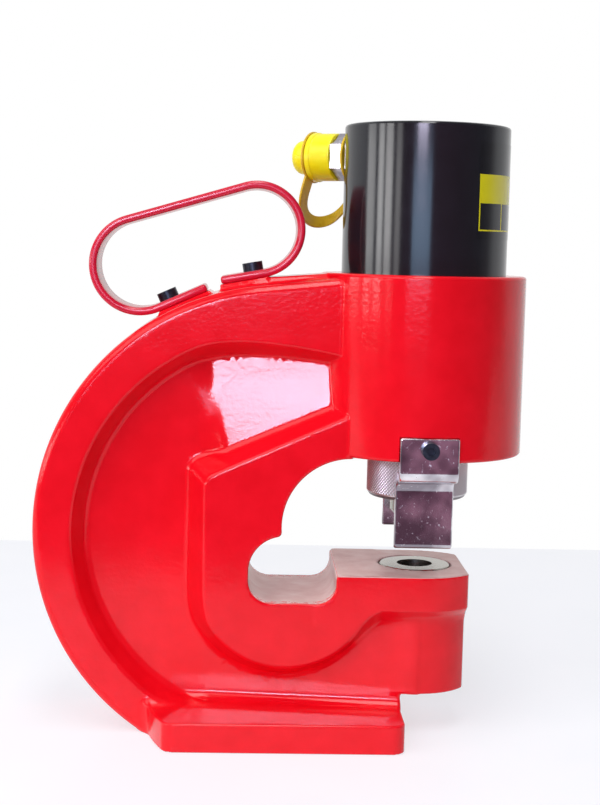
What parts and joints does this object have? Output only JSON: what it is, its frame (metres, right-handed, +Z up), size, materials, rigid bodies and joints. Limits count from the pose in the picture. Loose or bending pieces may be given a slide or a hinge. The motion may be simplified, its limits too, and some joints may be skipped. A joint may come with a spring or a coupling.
{
  "type": "hydraulic hole punch",
  "caption": "Portable hydraulic hole punch: cast C-frame with foot and carry handle, screwed-in ram cylinder with coupler and dust cap, knurled punch nut, die and stripper plates.",
  "frame": {"origin": "middle of the underside of the foot", "axes": "+X towards the nose and the punch axis, +Z up, Y across the tool"},
  "size_m": [0.312, 0.154, 0.3882],
  "materials": {
    "red_enamel_casting": "glossy red enamel on cast steel",
    "black_enamel_steel": "semi-gloss black",
    "hard_chrome": "ground and hard chromed",
    "seal_rubber": "moulded",
    "white_ptfe": "turned",
    "guide_plastic": "phenolic guide band",
    "bronze": "turned",
    "spring_steel": "oiled",
    "turned_steel": "turned and knurled",
    "tool_steel": "hardened and ground",
    "zinc_plate": "bright zinc",
    "black_oxide": "black oxide",
    "red_enamel_bar": "glossy red enamel on bent bar",
    "yellow_plastic": "moulded"
  },
  "bodies": {
    "frame": {"frame": "red_enamel_casting", "cylinder_body": "black_enamel_steel", "rod_bush": "bronze", "rod_wiper": "seal_rubber", "die": "tool_steel", "stripper_front": "zinc_plate", "stripper_rear": "zinc_plate", "stripper_screws": "black_oxide", "handle": "red_enamel_bar", "handle_screws": "black_oxide", "coupler_body": "zinc_plate", "cap_strap": "yellow_plastic", "return_spring": "spring_steel", "valve_spring": "spring_steel"},
    "ram": {"piston_rod": "hard_chrome", "piston_seal": "seal_rubber", "backup_ring": "white_ptfe", "wear_ring": "guide_plastic", "punch": "tool_steel"},
    "nut": {"punch_nut": "turned_steel"},
    "cap": {"dust_cap": "yellow_plastic"},
    "valve": {"valve_poppet": "turned_steel"}
  },
  "joints": [
    {"name": "ram_stroke", "type": "slide", "parent": "frame", "child": "ram", "axis": [0, 0, -1], "range_m": [0, 0.027], "stiffness_N_per_m": 6000, "springref_m": -0.03, "deforming": ["return_spring"]},
    {"name": "nut_turn", "type": "hinge", "parent": "ram", "child": "nut", "pos_m": [0.091, 0, 0.165], "axis": [0, 0, 1], "continuous": true},
    {"name": "cap_pull", "type": "slide", "parent": "frame", "child": "cap", "axis": [-0.848, 0.5299, 0], "range_m": [0, 0.022], "deforming": ["cap_strap"]},
    {"name": "valve_push", "type": "slide", "parent": "frame", "child": "valve", "axis": [0.848, -0.5299, 0], "range_m": [0, 0.003], "stiffness_N_per_m": 300, "springref_m": -0.003, "deforming": ["valve_spring"]}
  ]
}
